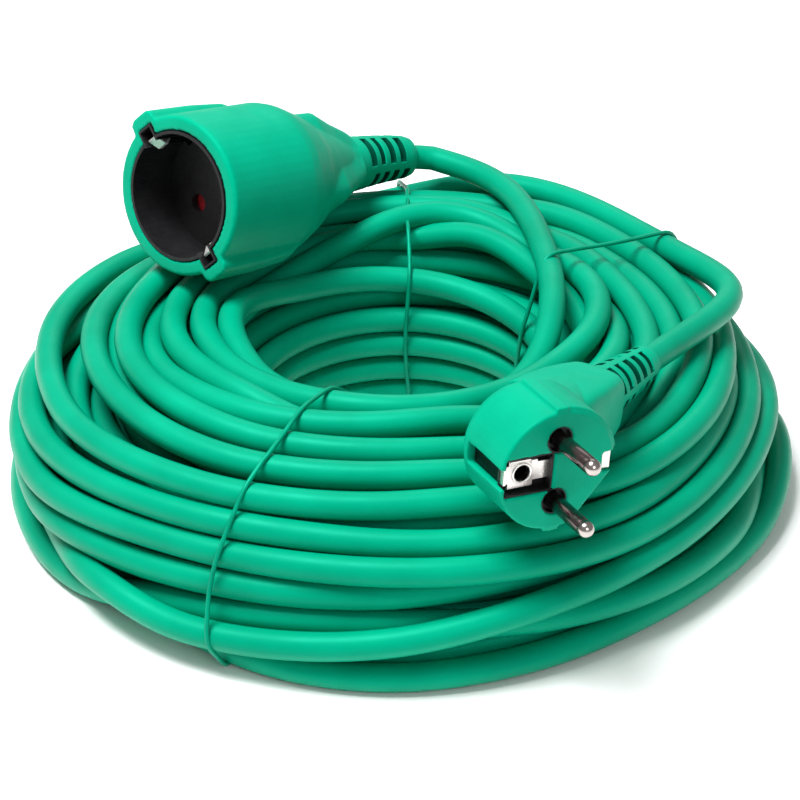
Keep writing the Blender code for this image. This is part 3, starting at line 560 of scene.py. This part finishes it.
def material(name, col, col2, rough, rough2=None, metal=0.0, scale=60.0, bump=0.05,
             bump_scale=900.0, coat=0.0, spec=0.5, tint=None, sub=0.0, bump_dist=0.0002, fine=0.5):
    m = bpy.data.materials.new("look_" + name)
    m.use_nodes = True
    nt = m.node_tree
    b = nt.nodes["Principled BSDF"]
    b.inputs["Metallic"].default_value = metal
    b.inputs["Specular IOR Level"].default_value = spec
    if tint:
        b.inputs["Specular Tint"].default_value = (*tint, 1)
    if coat:
        b.inputs["Coat Weight"].default_value = coat
        b.inputs["Coat Roughness"].default_value = 0.22
    if sub:
        b.inputs["Subsurface Weight"].default_value = sub
        b.inputs["Subsurface Radius"].default_value = (0.0012, 0.003, 0.002)
    tc = nt.nodes.new("ShaderNodeTexCoord")
    n1 = nt.nodes.new("ShaderNodeTexNoise")
    n1.inputs["Scale"].default_value = scale
    n1.inputs["Detail"].default_value = 5.0
    ramp = nt.nodes.new("ShaderNodeValToRGB")
    ramp.color_ramp.elements[0].position = 0.32
    ramp.color_ramp.elements[1].position = 0.68
    ramp.color_ramp.elements[0].color = (*col, 1)
    ramp.color_ramp.elements[1].color = (*col2, 1)
    nt.links.new(tc.outputs["Object"], n1.inputs["Vector"])
    nt.links.new(n1.outputs["Fac"], ramp.inputs["Fac"])
    nt.links.new(ramp.outputs["Color"], b.inputs["Base Color"])
    n2 = nt.nodes.new("ShaderNodeTexNoise")
    n2.inputs["Scale"].default_value = scale * 3.3
    n2.inputs["Detail"].default_value = 4.0
    mr = nt.nodes.new("ShaderNodeMapRange")
    mr.inputs["From Min"].default_value = 0.3
    mr.inputs["From Max"].default_value = 0.7
    mr.inputs["To Min"].default_value = rough
    mr.inputs["To Max"].default_value = rough2 if rough2 else rough + 0.1
    nt.links.new(tc.outputs["Object"], n2.inputs["Vector"])
    nt.links.new(n2.outputs["Fac"], mr.inputs["Value"])
    nt.links.new(mr.outputs["Result"], b.inputs["Roughness"])
    n3 = nt.nodes.new("ShaderNodeTexNoise")
    n3.inputs["Scale"].default_value = bump_scale
    n3.inputs["Detail"].default_value = 3.0
    bp = nt.nodes.new("ShaderNodeBump")
    bp.inputs["Strength"].default_value = bump
    bp.inputs["Distance"].default_value = bump_dist
    nt.links.new(tc.outputs["Object"], n3.inputs["Vector"])
    nt.links.new(n3.outputs["Fac"], bp.inputs["Height"])
    nt.links.new(bp.outputs["Normal"], b.inputs["Normal"])
    MATS[name] = m
    return m


GREEN_TINT = (0.05, 1.0, 0.72)
M_CORD = material("cord_green", (0.0, 0.228, 0.126), (0.0, 0.288, 0.162), 0.38, 0.50, spec=0.24,
                  tint=GREEN_TINT, scale=30, bump=0.25, bump_scale=260)
M_MOULD = material("mould_green", (0.0, 0.275, 0.156), (0.0, 0.320, 0.184), 0.42, 0.54, spec=0.14,
                   tint=GREEN_TINT, scale=50, bump=0.35, bump_scale=1500)
# near-black green for the reliefs' slots: painted shade in the slots' depth
M_SLOT_SHADE = material("slot_painted_shade", (0.0, 0.030, 0.017), (0.0, 0.050, 0.028), 0.6, 0.7, spec=0.1,
                  tint=GREEN_TINT, scale=120, bump=0.2, bump_scale=1500)
M_TIE = material("tie_green", (0.0, 0.19, 0.105), (0.0, 0.25, 0.14), 0.35, 0.5, tint=GREEN_TINT,
                 scale=120, bump=0.2, bump_scale=900)
M_BLACK = material("insert_black", (0.005, 0.005, 0.006), (0.009, 0.0085, 0.0095), 0.42, 0.58, spec=0.3,
                   scale=80, bump=0.3, bump_scale=1800)
M_WHITE = material("inner_white", (0.74, 0.71, 0.64), (0.8, 0.78, 0.72), 0.42, 0.55, bump=0.2)
M_RED = material("shutter_red", (0.30, 0.010, 0.016), (0.38, 0.015, 0.02), 0.36, 0.5, bump=0.2)
M_PIN = material("pin_nickel", (0.42, 0.37, 0.35), (0.52, 0.46, 0.43), 0.17, 0.26, metal=1.0,
                 scale=160, bump=0.02, bump_scale=900)
M_STRIP = material("strip_nickel", (0.62, 0.59, 0.56), (0.74, 0.71, 0.68), 0.22, 0.38,
                   metal=1.0, scale=200, bump=0.18, bump_scale=1500)
M_CLIP = material("clip_nickel", (0.78, 0.76, 0.73), (0.88, 0.86, 0.84), 0.34, 0.46,
                  metal=0.75, scale=200, bump=0.1, bump_scale=1500)


def along_axis(mat, origin, axis, lo, hi, dark, dark2, gain=1.0):
    """Darkens a metal toward its root along an axis, fixed to the piece: painted shade and painted dark
    reflection near the moulding.
    """
    nt = mat.node_tree
    b = nt.nodes["Principled BSDF"]
    base = b.inputs["Base Color"].links[0].from_socket
    tc = nt.nodes.new("ShaderNodeTexCoord")
    sub = nt.nodes.new("ShaderNodeVectorMath")
    sub.operation = "SUBTRACT"
    sub.inputs[1].default_value = tuple(np.asarray(origin) * MM)
    dot = nt.nodes.new("ShaderNodeVectorMath")
    dot.operation = "DOT_PRODUCT"
    dot.inputs[1].default_value = tuple(axis)
    mr = nt.nodes.new("ShaderNodeMapRange")
    mr.inputs["From Min"].default_value = lo * MM
    mr.inputs["From Max"].default_value = hi * MM
    n = nt.nodes.new("ShaderNodeTexNoise")
    n.inputs["Scale"].default_value = 400
    dk = nt.nodes.new("ShaderNodeValToRGB")
    dk.color_ramp.elements[0].color = (*dark, 1)
    dk.color_ramp.elements[1].color = (*dark2, 1)
    mix = nt.nodes.new("ShaderNodeMix")
    mix.data_type = "RGBA"
    nt.links.new(tc.outputs["Object"], sub.inputs[0])
    nt.links.new(sub.outputs[0], dot.inputs[0])
    nt.links.new(dot.outputs["Value"], mr.inputs["Value"])
    nt.links.new(tc.outputs["Object"], n.inputs["Vector"])
    nt.links.new(n.outputs["Fac"], dk.inputs["Fac"])
    nt.links.new(mr.outputs["Result"], mix.inputs["Factor"])
    nt.links.new(dk.outputs["Color"], mix.inputs["A"])
    nt.links.new(base, mix.inputs["B"])
    nt.links.new(mix.outputs["Result"], b.inputs["Base Color"])


# pins: dark brownish shank up to a bright tip, painted dark reflection and shade
along_axis(M_PIN, PLUG_O, PLUG_A[2], 15.6, 17.6, (0.115, 0.085, 0.085), (0.20, 0.155, 0.15))
# the plug's earth strap: a copy of the strip metal turning near-black toward the body, painted shade where it
# enters the moulding
M_EARTHSTRIP_SHADED = material("plug_strip", (0.66, 0.63, 0.60), (0.80, 0.77, 0.74), 0.24, 0.38,
                        metal=1.0, scale=200, bump=0.18, bump_scale=1500)
along_axis(M_EARTHSTRIP_SHADED, PLUG_O, PLUG_A[2], -5.2, -2.6, (0.004, 0.006, 0.005), (0.010, 0.012, 0.011))
M_BRASS = material("contact_brass", (0.66, 0.46, 0.2), (0.76, 0.56, 0.26), 0.25, 0.38,
                   metal=1.0, bump=0.1)
M_STEEL = material("spring_steel", (0.48, 0.48, 0.49), (0.58, 0.58, 0.59), 0.25, 0.38,
                   metal=1.0, bump=0.1)
M_BROWN = material("core_brown", (0.12, 0.045, 0.02), (0.17, 0.065, 0.03), 0.4, 0.5)
M_BLUE = material("core_blue", (0.02, 0.08, 0.42), (0.03, 0.11, 0.5), 0.4, 0.5)

# the earth core: green with a yellow stripe along it
M_EARTH = material("core_earth", (0.03, 0.3, 0.04), (0.04, 0.36, 0.05), 0.4, 0.5)
nt = M_EARTH.node_tree
wave = nt.nodes.new("ShaderNodeTexWave")
wave.inputs["Scale"].default_value = 120
wave.inputs["Distortion"].default_value = 0.6
tc = nt.nodes.new("ShaderNodeTexCoord")
rp = nt.nodes.new("ShaderNodeValToRGB")
rp.color_ramp.interpolation = "CONSTANT"
rp.color_ramp.elements[0].color = (0.03, 0.3, 0.04, 1)
rp.color_ramp.elements[1].position = 0.5
rp.color_ramp.elements[1].color = (0.75, 0.68, 0.02, 1)
nt.links.new(tc.outputs["Object"], wave.inputs["Vector"])
nt.links.new(wave.outputs["Fac"], rp.inputs["Fac"])
nt.links.new(rp.outputs["Color"], nt.nodes["Principled BSDF"].inputs["Base Color"])


def paint(ob, mat):
    ob.data.materials.clear()
    ob.data.materials.append(mat)


# ----------------------------------------------- cord: material and body
paint(cord, M_CORD)
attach(cord, "cord_set")
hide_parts("cord_coil", "cord_plug_lead", "cord_socket_lead")

# --------------------------------------------------------- mouldings, rounded
def remeshed(name, node, voxel, smooth_it, mat, extra=None):
    """The node's own shape with moulded, slightly rounded edges."""
    src = NODES[node]
    me = src.data.copy()
    me.name = name
    ob = bpy.data.objects.new(name, me)
    bpy.context.scene.collection.objects.link(ob)
    bm = bmesh.new()
    bm.from_mesh(me)
    bmesh.ops.remove_doubles(bm, verts=bm.verts, dist=0.00001)
    for pv, pf in extra or ():
        nv = [bm.verts.new(Vector(tuple(np.asarray(p) * MM))) for p in pv]
        made = [bm.faces.new([nv[i] for i in q]) for q in pf]
        bmesh.ops.recalc_face_normals(bm, faces=made)
    bm.to_mesh(me)
    bm.free()
    rm = ob.modifiers.new("remesh", "REMESH")
    rm.mode = "VOXEL"
    rm.voxel_size = voxel * MM
    rm.adaptivity = 0.0
    sm = ob.modifiers.new("soften", "CORRECTIVE_SMOOTH") if False else ob.modifiers.new("soften", "SMOOTH")
    sm.factor = 0.5
    sm.iterations = smooth_it
    dg = bpy.context.evaluated_depsgraph_get()
    out = bpy.data.meshes.new_from_object(ob.evaluated_get(dg))
    ob.modifiers.clear()
    ob.data = out
    out.shade_smooth()
    paint(ob, mat)
    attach(ob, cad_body(node))
    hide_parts(node)
    print(name, "triangles about", 2 * len(out.polygons))
    return ob


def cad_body(node):
    return "cord_set"


def prism(outline_pts, z_lo, z_hi, world):
    """Closed prism over an outline in a moulding's own x, y (anticlockwise)."""
    n = len(outline_pts)
    v = [world((x, y, z_lo)) for x, y in outline_pts] + [world((x, y, z_hi)) for x, y in outline_pts]
    f = [tuple(range(n))[::-1], tuple(range(n, 2 * n))]
    f += [(i, (i + 1) % n, n + (i + 1) % n, n + i) for i in range(n)]
    return v, f


def lofted(rings, world):
    n = len(rings[0])
    v = [world(p) for ring in rings for p in ring]
    f = [tuple(range(n))[::-1], tuple((len(rings) - 1) * n + j for j in range(n))]
    for i in range(len(rings) - 1):
        for j in range(n):
            k2 = (j + 1) % n
            f.append((i * n + j, i * n + k2, (i + 1) * n + k2, (i + 1) * n + j))
    return v, f


def squarish(hx, hy, z, p, n=40):
    out = []
    for i in range(n):
        a = 2 * math.pi * i / n
        c, s_ = math.cos(a), math.sin(a)
        out.append((hx * math.copysign(abs(c) ** (2 / p), c), hy * math.copysign(abs(s_) ** (2 / p), s_), z))
    return out


# plug: the half toward the neck stands a step higher than the other, from the top key round
arc = [(19.15 * math.cos(math.radians(a)), 19.15 * math.sin(math.radians(a)))
       for a in np.linspace(12, 84, 30)]
inner = [(16.2 * math.cos(math.radians(a)), 16.2 * math.sin(math.radians(a)))
         for a in np.linspace(84, 12, 20)]
shoulder = prism(arc + inner, -19.5, -0.7, plug_w)
key_top = prism([(-1.9, 15.5), (1.9, 15.5), (1.9, 19.3), (-1.9, 19.3)], -20.0, -0.2, plug_w)
key_low = prism([(-2.6, -19.0), (2.2, -19.0), (2.2, -15.5), (-2.6, -15.5)], -17.0, -0.2, plug_w)
def neck_ring(t, hw, hy, p, n=44):
    return [neck(t, a, b) for a, b, _ in squarish(hw, hy, 0.0, p, n)]


neck_block = lofted([neck_ring(9, 13.2, 13.0, 7), neck_ring(16, 12.9, 12.6, 7),
                     neck_ring(25, 12.0, 11.6, 7), neck_ring(33, 10.8, 10.4, 6),
                     neck_ring(38.2, 9.7, 9.5, 5), neck_ring(40.2, 8.9, 8.8, 3.5)], plug_w)
plug_vis = remeshed("plug_moulding", "plug_body", 0.45, 2, M_MOULD,
                    [shoulder, key_top, key_low, neck_block])
# socket: a sharper square block where the body meets the relief
block = lofted([squarish(15.6, 15.0, -50.5, 6), squarish(16.6, 16.2, -53.5, 7),
                squarish(16.6, 15.4, -61.0, 7), squarish(13.2, 12.0, -70.0, 6),
                squarish(10.2, 9.6, -78.5, 5), squarish(9.9, 9.7, -80.4, 3)], sock_w)
sock_vis = remeshed("socket_moulding", "socket_body", 0.6, 2, M_MOULD, [block])


def placed(name, vf, mat, smooth=False):
    ob = new_object(name, np.array(vf[0]), vf[1], smooth=smooth)
    paint(ob, mat)
    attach(ob, "cord_set")
    return ob


def lining(name, c, r_out, r_in, z_lo, z_hi, floor_z, mat):
    """Cup-shaped lining of a round well: wall and a floor with a hole."""
    prof = [(r_out, z_hi), (r_out, z_lo), (r_in, z_lo), (r_in, floor_z),
            (r_out - 0.25, floor_z), (r_out - 0.25, z_hi)]
    n, v, f = 48, [], []
    for i in range(n):
        a = 2 * math.pi * i / n
        for r, z in prof:
            v.append(plug_w((c[0] + r * math.cos(a), c[1] + r * math.sin(a), z)))
    m = len(prof)
    for i in range(n):
        for j in range(m):
            a, b = i * m, ((i + 1) % n) * m
            f.append((a + j, b + j, b + (j + 1) % m, a + (j + 1) % m))
    return placed(name, (v, f), mat, smooth=False)


def cell(x0, x1, y0, y1, z0, z1):
    return prism([(x0, y0), (x1, y0), (x1, y1), (x0, y1)], z0, z1, plug_w)


def joined(parts):
    v, f = [], []
    for pv, pf in parts:
        o = len(v)
        v += list(pv)
        f += [tuple(o + i for i in q) for q in pf]
    return v, f


extra_pieces = [
    lining("pin_well_a", (0, 9.5), 3.9, 2.55, -2.55, -0.35, -2.3, M_BLACK),
    lining("pin_well_b", (0, -9.5), 3.9, 2.55, -2.55, -0.35, -2.3, M_BLACK),
    placed("earth_recess_lining", joined([
        cell(-16.2, -1.35, -5.85, -5.45, -4.2, -0.5), cell(-16.2, -1.35, 5.45, 5.85, -4.2, -0.5),
        cell(-1.75, -1.35, -5.85, 5.85, -4.2, -0.5),
        cell(-16.2, -13.9, -5.8, 5.8, -4.25, -4.05), cell(-6.1, -1.4, -5.8, 5.8, -4.25, -4.05)]),
        M_BLACK),
    placed("plug_strip_tab", joined([
        cell(14.7, 17.5, -2.6, 2.6, -1.6, -1.15), cell(17.05, 17.5, -2.6, 2.6, -5.0, -1.2)]),
        M_STRIP),
    placed("plug_strip_lip", joined([
        cell(-8.0, -6.2, 3.3, 4.4, -2.6, -1.0), cell(-14.2, -6.2, 4.0, 4.4, -2.6, -1.75)]),
        M_CLIP),
]
# the two pins, turned with a full hemispherical tip
for nm_, y_ in (("plug_pin_line", 9.5), ("plug_pin_neutral", -9.5)):
    prof = [(0.001, -18.9), (2.4, -18.9), (2.4, 15.4), (2.36, 15.55), (2.36, 15.7), (2.4, 15.85),
            (2.4, 16.6)] + [
        (2.4 * math.cos(math.radians(q)), 16.6 + 2.4 * math.sin(math.radians(q)))
        for q in range(8, 90, 8)] + [(0.001, 19.0)]
    pv, pf, n_s = [], [], 48
    for i in range(n_s):
        a = 2 * math.pi * i / n_s
        for r, z in prof:
            pv.append(plug_w((r * math.cos(a), y_ + r * math.sin(a), z)))
    for i in range(n_s):
        for j in range(len(prof) - 1):
            a, b = i * len(prof), ((i + 1) % n_s) * len(prof)
            pf.append((a + j, b + j, b + j + 1, a + j + 1))
    pin = placed(nm_ + "_turned", (pv, pf), M_PIN, smooth=True)
    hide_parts(nm_)
    extra_pieces.append(pin)
# collar round the earth pin's entry
cv, cf = [], []
for i in range(48):
    a = 2 * math.pi * i / 48
    for j in range(12):
        b2 = 2 * math.pi * j / 12
        rr = 2.85 + 0.38 * math.cos(b2)
        cv.append(plug_w((-10 + rr * math.cos(a), rr * math.sin(a), -2.45 + 0.38 * math.sin(b2))))
for i in range(48):
    for j in range(12):
        cf.append((i * 12 + j, ((i + 1) % 48) * 12 + j, ((i + 1) % 48) * 12 + (j + 1) % 12,
                   i * 12 + (j + 1) % 12))
extra_pieces.append(placed("earth_entry_collar", (cv, cf), M_CLIP, smooth=True))


# the shutter's return spring, drawn at one fixed length; the real spring shortens as the shutter slides onto it
SPR_A, SPR_B, SPR_N = 3.9, 14.4, 6 * 24
spring_path = [sock_w((SPR_A + (SPR_B - SPR_A) * i / SPR_N, 1.05 * math.cos(math.radians(15 * i)),
                       -21.4 + 1.05 * math.sin(math.radians(15 * i)))) for i in range(SPR_N + 1)]
spring = tube("shutter_spring_coils", spring_path, 0.22, 8)
paint(spring, M_STEEL)
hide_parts("shutter_spring")
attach(spring, "cord_set")
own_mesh(spring)

# ------------------------------------------------------------ strain reliefs
def slotted_relief(name, axis_fn, t0, t1, radii, world, slot_len, slot_pitch, first, per_row,
                   rows, depth_r, node):
    """Tapered relief with staggered slots, following its own axis."""
    n_t, n_a = 210, 112
    ts = np.linspace(t0, t1, n_t)
    verts, faces, depth = [], [], []
    ax = np.array([world(axis_fn(t)) for t in ts])
    tan = np.gradient(ax, axis=0)
    tan /= np.linalg.norm(tan, axis=1, keepdims=True)
    up = np.array([0, 0, 1.0])
    side = np.cross(tan, up)
    side /= np.linalg.norm(side, axis=1, keepdims=True)
    nor = np.cross(side, tan)
    for i, t in enumerate(ts):
        r_out = np.interp(t, [q[0] for q in radii], [q[1] for q in radii])
        for j in range(n_a):
            a = 2 * math.pi * j / n_a
            r = r_out
            for q in range(rows):
                centre = 2 * math.pi * (q + 0.5) / rows
                da = abs((a - centre + math.pi) % (2 * math.pi) - math.pi)
                half = math.pi / rows * 0.78
                off = first + (slot_pitch / 2 if q % 2 else 0.0)
                k = round((t - off) / slot_pitch)
                if 0 <= k < per_row:
                    dt = abs(t - off - k * slot_pitch)
                    ia = min(1.0, max(0.0, (half - da) / 0.10))
                    it_ = min(1.0, max(0.0, (slot_len / 2 - dt) / 0.30))
                    m = min(ia, it_)
                    m = m * m * (3 - 2 * m)
                    r = min(r, r_out - m * max(0.0, r_out - depth_r(t)))
            depth.append(r_out - r)
            verts.append(ax[i] + r * (math.cos(a) * side[i] + math.sin(a) * nor[i]))
    for i in range(n_t - 1):
        for j in range(n_a):
            k2 = (j + 1) % n_a
            faces.append((i * n_a + j, i * n_a + k2, (i + 1) * n_a + k2, (i + 1) * n_a + j))
    faces.append(tuple(range(n_a))[::-1])
    faces.append(tuple((n_t - 1) * n_a + j for j in range(n_a)))
    ob = new_object(name, verts, faces)
    paint(ob, M_MOULD)
    # faces more than 0.9 mm deep get the near-black material: painted shade inside the slots
    ob.data.materials.append(M_SLOT_SHADE)
    deep = np.array(depth)
    for p in ob.data.polygons:
        if len(p.vertices) == 4 and deep[list(p.vertices)].max() > 0.9:
            p.material_index = 1
    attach(ob, "cord_set")
    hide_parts(node)
    return ob


plug_rel = slotted_relief(
    "plug_relief_vis", neck, 38.5, 69.2,
    [(38.5, 8.3), (40.6, 8.1), (49.6, 7.3), (58.6, 6.4), (66.8, 5.7), (68.4, 5.3), (69.0, 4.8), (69.2, 4.3)],
    plug_w, 2.7, 4.9, 42.6, 5, 4, lambda t: 3.0, "plug_strain_relief")
sock_rel = slotted_relief(
    "socket_relief_vis", relief_axis, 78.5, 112.6,
    [(78.5, 9.8), (80.8, 9.7), (85, 9.4), (89, 9.1), (93, 8.8), (97, 8.5), (101, 8.2), (105, 7.9),
     (108.5, 7.5), (110.8, 6.8), (112.0, 5.6), (112.6, 4.3)],
    sock_w, 3.0, 5.6, 86.3, 4, 4, lambda t: 3.2, "socket_strain_relief")


# ----------------------------------------------------------------- wire ties
def hull2(points):
    pts = sorted(set((round(float(a), 3), round(float(b), 3)) for a, b in points))

    def half(seq):
        out = []
        for p in seq:
            while len(out) > 1 and ((out[-1][0] - out[-2][0]) * (p[1] - out[-2][1])
                                    - (out[-1][1] - out[-2][1]) * (p[0] - out[-2][0])) <= 0:
                out.pop()
            out.append(p)
        return out[:-1]
    return half(pts) + half(pts[::-1])


TIE_D = 1.4
PATH_AZ = np.degrees(np.arctan2(PATH[:, 1] - CY, PATH[:, 0]))
PATH_R = np.hypot(PATH[:, 0], PATH[:, 1] - CY)


def tie(name, azimuth, lean, seed, node, belly=0.0, skip=0, z_max=99.0):
    """A thin wire drawn round the bundle at an azimuth (degrees)."""
    da = (PATH_AZ - azimuth + 180) % 360 - 180
    m = np.abs(np.radians(da) * PATH_R) < 3.5
    m &= PATH_R > 40
    m[:skip] = False
    pts = []
    for r, z in zip(PATH_R[m], PATH[m, 2]):
        for a in np.linspace(0, 2 * np.pi, 16, endpoint=False):
            rr = CORD_D / 2 + TIE_D / 2 + 0.05
            pts.append((r + rr * math.cos(a), max(TIE_D / 2 + 0.05, z + rr * math.sin(a))))
    h = np.array(hull2(pts))
    seg = np.linalg.norm(np.roll(h, -1, axis=0) - h, axis=1)
    s = np.concatenate([[0], np.cumsum(seg)])
    hh = np.vstack([h, h[:1]])
    t = np.linspace(0, s[-1], 140, endpoint=False)
    loop = np.stack([np.interp(t, s, hh[:, 0]), np.interp(t, s, hh[:, 1])], axis=1)
    for _ in range(2):
        loop = loop + 0.2 * (np.roll(loop, 1, axis=0) + np.roll(loop, -1, axis=0) - 2 * loop)
    r2 = np.random.default_rng(seed)
    ph = r2.uniform(0, 6.28, 4)
    out = []
    for i, (r, z) in enumerate(loop):
        u = 2 * math.pi * i / len(loop)
        off = lean * (r - 86) / 36.0 + 0.9 * math.sin(2 * u + ph[0]) + 0.45 * math.sin(5 * u + ph[1])
        if r > 95:
            off -= belly * math.exp(-((z - 27) / 17.0) ** 2)
        a = math.radians(azimuth) + off / max(r, 30)
        out.append((r * math.cos(a), CY + r * math.sin(a), min(z_max, max(z, TIE_D / 2 + 0.05))))
    ob = tube(name, out, TIE_D / 2, 10, closed=True)
    paint(ob, M_TIE)
    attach(ob, "cord_set")
    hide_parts(node)
    return ob


tie("tie_front_wire", -113.5, -3.0, 1, "tie_front", belly=5.0)
tie("tie_back_wire", 89.0, 2.0, 2, "tie_back", skip=22, z_max=59.6)
tie("tie_right_wire", 30.0, 2.0, 3, "tie_right")

# -------------------------------------------------- materials of CAD pieces
for nm, ob in NODES.items():
    if "core_brown" in nm:
        paint(ob, M_BROWN)
    elif "core_blue" in nm:
        paint(ob, M_BLUE)
    elif "core_earth" in nm:
        paint(ob, M_EARTH)
    elif "shutter" in nm and "spring" not in nm:
        paint(ob, M_RED)
    elif "spring" in nm:
        paint(ob, M_STEEL)
    elif "contact_carrier" in nm or "insert" in nm:
        paint(ob, M_BLACK)
    elif "contact_line" in nm or "contact_neutral" in nm:
        paint(ob, M_BRASS)
    elif nm in ("plug_earth_strap", "plug_earth_socket"):
        paint(ob, M_EARTHSTRIP_SHADED)
    elif "earth_clip" in nm:
        paint(ob, M_CLIP)
    elif "pin" in nm and "plug" in nm:
        paint(ob, M_PIN)
    elif "earth" in nm or "clip" in nm or "strap" in nm:
        paint(ob, M_STRIP)
    elif nm.startswith("cord_") or nm.startswith("tie_"):
        paint(ob, M_CORD)
    elif "body" in nm or "relief" in nm:
        paint(ob, M_MOULD)
    else:
        paint(ob, M_WHITE)
    print(nm, ob.data.materials[0].name)

# ------------------------------------------------------------- floor, light
fl = bpy.data.meshes.new("floor")
fl.from_pydata([(-6, -6, -0.0002), (6, -6, -0.0002), (6, 6, -0.0002), (-6, 6, -0.0002)], [], [(0, 1, 2, 3)])
floor = bpy.data.objects.new("floor", fl)
bpy.context.scene.collection.objects.link(floor)
fm = bpy.data.materials.new("pale_floor")
fm.use_nodes = True
fb = fm.node_tree.nodes["Principled BSDF"]
fb.inputs["Base Color"].default_value = (0.97, 0.97, 0.97, 1)
fb.inputs["Roughness"].default_value = 0.6
fb.inputs["Specular IOR Level"].default_value = 0.2
fl.materials.append(fm)

world = bpy.data.worlds.new("studio")
world.use_nodes = True
bg = world.node_tree.nodes["Background"]
bg.inputs["Color"].default_value = (1, 1, 1, 1)
bg.inputs["Strength"].default_value = 0.32
bpy.context.scene.world = world


def area(name, loc, target, size, power, size_y=None):
    ld = bpy.data.lights.new(name, "AREA")
    ld.energy = power
    ld.size = size
    if size_y:
        ld.shape = "RECTANGLE"
        ld.size_y = size_y
    lo = bpy.data.objects.new(name, ld)
    bpy.context.scene.collection.objects.link(lo)
    lo.location = loc
    lo.rotation_euler = (Vector(target) - Vector(loc)).to_track_quat("-Z", "Y").to_euler()
    return lo


area("key", (-0.30, -0.10, 1.02), (0, 0, 0.03), 0.50, 21.5)
area("front", (0.35, -0.9, 0.6), (0, 0, 0.03), 0.5, 2.4)
area("back", (0.1, 0.9, 0.7), (0, 0, 0.05), 0.5, 1.0)
bpy.context.scene.view_settings.view_transform = "Standard"
